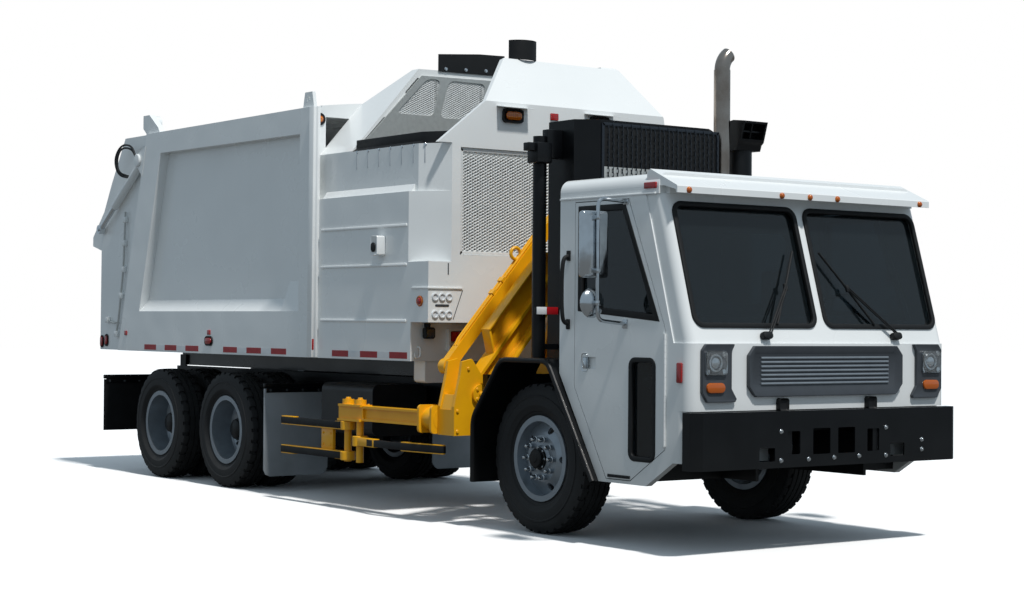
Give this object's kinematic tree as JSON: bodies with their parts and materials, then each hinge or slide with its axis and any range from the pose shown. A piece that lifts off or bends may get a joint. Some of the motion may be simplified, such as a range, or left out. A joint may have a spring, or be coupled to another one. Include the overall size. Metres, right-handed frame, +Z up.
{
  "type": "garbage truck",
  "caption": "Low-entry side-loading garbage truck with a lifting arm and gripper, open hopper, tipping load body, rear tailgate, steered front axle and driven tandem axles.",
  "frame": {"origin": "middle of the overall length and width, on the ground under the tyres", "axes": "+X forward along the truck, +Y to its left, +Z up"},
  "size_m": [9.36, 3.13, 3.782],
  "materials": {
    "white_paint": "gloss",
    "chassis_black": "satin",
    "engine_grey": "matte",
    "glass": "gloss",
    "dark_trim": "matte",
    "lamp": "gloss",
    "chrome": "polished",
    "flap": "matte",
    "mirror_steel": "brushed",
    "guard_steel": "matte",
    "tyre": "matte",
    "wheel_steel": "satin",
    "arm_yellow": "gloss"
  },
  "bodies": {
    "chassis": {"frame": "chassis_black", "engine": "engine_grey", "drive_shafts": "engine_grey", "axles": "chassis_black", "front_springs": "chassis_black", "rear_suspension": "chassis_black", "radiator": "chassis_black", "bumper": "chassis_black", "cab_front": "white_paint", "cab_sides": "white_paint", "cab_back": "white_paint", "cab_roof": "white_paint", "cab_floor": "chassis_black", "cab_glass": "glass", "interior": "dark_trim", "front_trim": "dark_trim", "front_lamps": "lamp", "fenders": "chassis_black", "exhaust": "chrome", "air_intake": "chassis_black", "side_tanks": "engine_grey", "mudflaps": "flap"},
    "steer_right": {"knuckle_right": "chassis_black"},
    "steer_left": {"knuckle_left": "chassis_black"},
    "wheel_front_right": {"front_tyre_right": "tyre", "front_disc_right": "wheel_steel"},
    "wheel_front_left": {"front_tyre_left": "tyre", "front_disc_left": "wheel_steel"},
    "wheel_1_right": {"drive_tyres_1_right": "tyre", "drive_discs_1_right": "wheel_steel"},
    "wheel_1_left": {"drive_tyres_1_left": "tyre", "drive_discs_1_left": "wheel_steel"},
    "wheel_2_right": {"drive_tyres_2_right": "tyre", "drive_discs_2_right": "wheel_steel"},
    "wheel_2_left": {"drive_tyres_2_left": "tyre", "drive_discs_2_left": "wheel_steel"},
    "door_right": {"door_right": "white_paint", "door_glass_right": "glass", "mirror_right": "mirror_steel"},
    "door_left": {"door_left": "white_paint", "door_glass_left": "glass", "mirror_left": "mirror_steel"},
    "bed": {"load_body": "white_paint", "hopper": "white_paint", "hopper_hood": "white_paint", "hopper_guard": "guard_steel", "hopper_flaps": "flap", "lifting_eyes": "white_paint"},
    "tailgate": {"tailgate": "white_paint"},
    "gate_barrels": {"gate_barrels": "white_paint"},
    "gate_rods": {"gate_rods": "chrome"},
    "hoist_barrel": {"hoist_barrel": "chassis_black"},
    "hoist_rod": {"hoist_rod": "chrome"},
    "arm_carriage": {"arm_carriage": "arm_yellow"},
    "lift_arm": {"lift_arm": "arm_yellow"},
    "level_link": {"level_link": "arm_yellow"},
    "arm_bracket": {"arm_bracket": "arm_yellow"},
    "grip_beam": {"grip_beam": "arm_yellow"},
    "finger_rear": {"finger_rear": "arm_yellow"},
    "finger_front": {"finger_front": "arm_yellow"}
  },
  "joints": [
    {"name": "steer_right", "type": "hinge", "parent": "chassis", "child": "steer_right", "pos_m": [2.875, -0.89, 0.53], "axis": [0, 0, 1], "range_deg": [-40, 40]},
    {"name": "spin_front_right", "type": "hinge", "parent": "steer_right", "child": "wheel_front_right", "pos_m": [2.875, -0.975, 0.533], "axis": [0, 1, 0], "continuous": true},
    {"name": "steer_left", "type": "hinge", "parent": "chassis", "child": "steer_left", "pos_m": [2.875, 0.89, 0.53], "axis": [0, 0, 1], "range_deg": [-40, 40]},
    {"name": "spin_front_left", "type": "hinge", "parent": "steer_left", "child": "wheel_front_left", "pos_m": [2.875, 0.975, 0.533], "axis": [0, 1, 0], "continuous": true},
    {"name": "spin_1_right", "type": "hinge", "parent": "chassis", "child": "wheel_1_right", "pos_m": [-1.68, -0.895, 0.515], "axis": [0, 1, 0], "continuous": true},
    {"name": "spin_1_left", "type": "hinge", "parent": "chassis", "child": "wheel_1_left", "pos_m": [-1.68, 0.895, 0.515], "axis": [0, 1, 0], "continuous": true},
    {"name": "spin_2_right", "type": "hinge", "parent": "chassis", "child": "wheel_2_right", "pos_m": [-3, -0.895, 0.515], "axis": [0, 1, 0], "continuous": true},
    {"name": "spin_2_left", "type": "hinge", "parent": "chassis", "child": "wheel_2_left", "pos_m": [-3, 0.895, 0.515], "axis": [0, 1, 0], "continuous": true},
    {"name": "door_right", "type": "hinge", "parent": "chassis", "child": "door_right", "pos_m": [4.35, -1.207, 1], "axis": [0, 0, 1], "range_deg": [0, 75]},
    {"name": "door_left", "type": "hinge", "parent": "chassis", "child": "door_left", "pos_m": [4.35, 1.207, 1], "axis": [0, 0, -1], "range_deg": [0, 75]},
    {"name": "bed_tip", "type": "hinge", "parent": "chassis", "child": "bed", "pos_m": [-4.02, 0, 1.1], "axis": [0, -1, 0], "range_deg": [0, 45]},
    {"name": "hoist_swing", "type": "hinge", "parent": "chassis", "child": "hoist_barrel", "pos_m": [-1, 0, 0.8], "axis": [0, 1, 0], "range_deg": [-0.5, 25.1]},
    {"name": "hoist_stroke", "type": "slide", "parent": "hoist_barrel", "child": "hoist_rod", "axis": [-0.983, 0, 0.1835], "range_m": [-0.005, 0.84137]},
    {"name": "gate_open", "type": "hinge", "parent": "bed", "child": "tailgate", "pos_m": [-3.33, 0, 3.4], "axis": [0, 1, 0], "range_deg": [0, 85]},
    {"name": "gate_swing", "type": "hinge", "parent": "bed", "child": "gate_barrels", "pos_m": [-3.443, 0, 3.038], "axis": [0, 1, 0], "range_deg": [-0.5, 88.13]},
    {"name": "gate_stroke", "type": "slide", "parent": "gate_barrels", "child": "gate_rods", "axis": [-0.8321, 0, -0.5547], "range_m": [-0.005, 0.51348]},
    {"name": "arm_slide", "type": "slide", "parent": "chassis", "child": "arm_carriage", "axis": [0, 1, 0], "range_m": [-1, 0]},
    {"name": "arm_lift", "type": "hinge", "parent": "arm_carriage", "child": "lift_arm", "pos_m": [2.04, -0.04954, 2.16946], "axis": [1, 0, 0], "range_deg": [-85, 0]},
    {"name": "link_swing", "type": "hinge", "parent": "arm_carriage", "child": "level_link", "pos_m": [1.875, -0.15954, 2.36945], "axis": [1, 0, 0], "range_deg": [-85.5, 0.5]},
    {"name": "bracket_level", "type": "hinge", "parent": "lift_arm", "child": "arm_bracket", "pos_m": [2.04, -1.102, 0.963], "axis": [1, 0, 0], "range_deg": [-0.5, 85.5]},
    {"name": "grip_tilt", "type": "hinge", "parent": "arm_bracket", "child": "grip_beam", "pos_m": [1.84, -1.28, 0.77], "axis": [1, 0, 0], "range_deg": [-135, 0]},
    {"name": "grip_rear", "type": "hinge", "parent": "grip_beam", "child": "finger_rear", "pos_m": [0.62, -1.3, 0.5], "axis": [0, 0, -1], "range_deg": [-95, 0]},
    {"name": "grip_front", "type": "hinge", "parent": "grip_beam", "child": "finger_front", "pos_m": [0.8, -1.3, 0.55], "axis": [0, 0, 1], "range_deg": [-95.5, 0.5]}
  ],
  "couplings": [
    {"joint": "steer_left", "follows": "steer_right", "ratio": 1},
    {"joint": "hoist_swing", "follows": "bed_tip", "ratio": 0.54657},
    {"joint": "hoist_stroke", "follows": "bed_tip", "m_per_rad": 1.0649},
    {"joint": "gate_swing", "follows": "gate_open", "ratio": 1.0309},
    {"joint": "gate_stroke", "follows": "gate_open", "m_per_rad": 0.34275},
    {"joint": "link_swing", "follows": "arm_lift", "ratio": 1},
    {"joint": "bracket_level", "follows": "arm_lift", "ratio": -1},
    {"joint": "grip_front", "follows": "grip_rear", "ratio": 1}
  ]
}
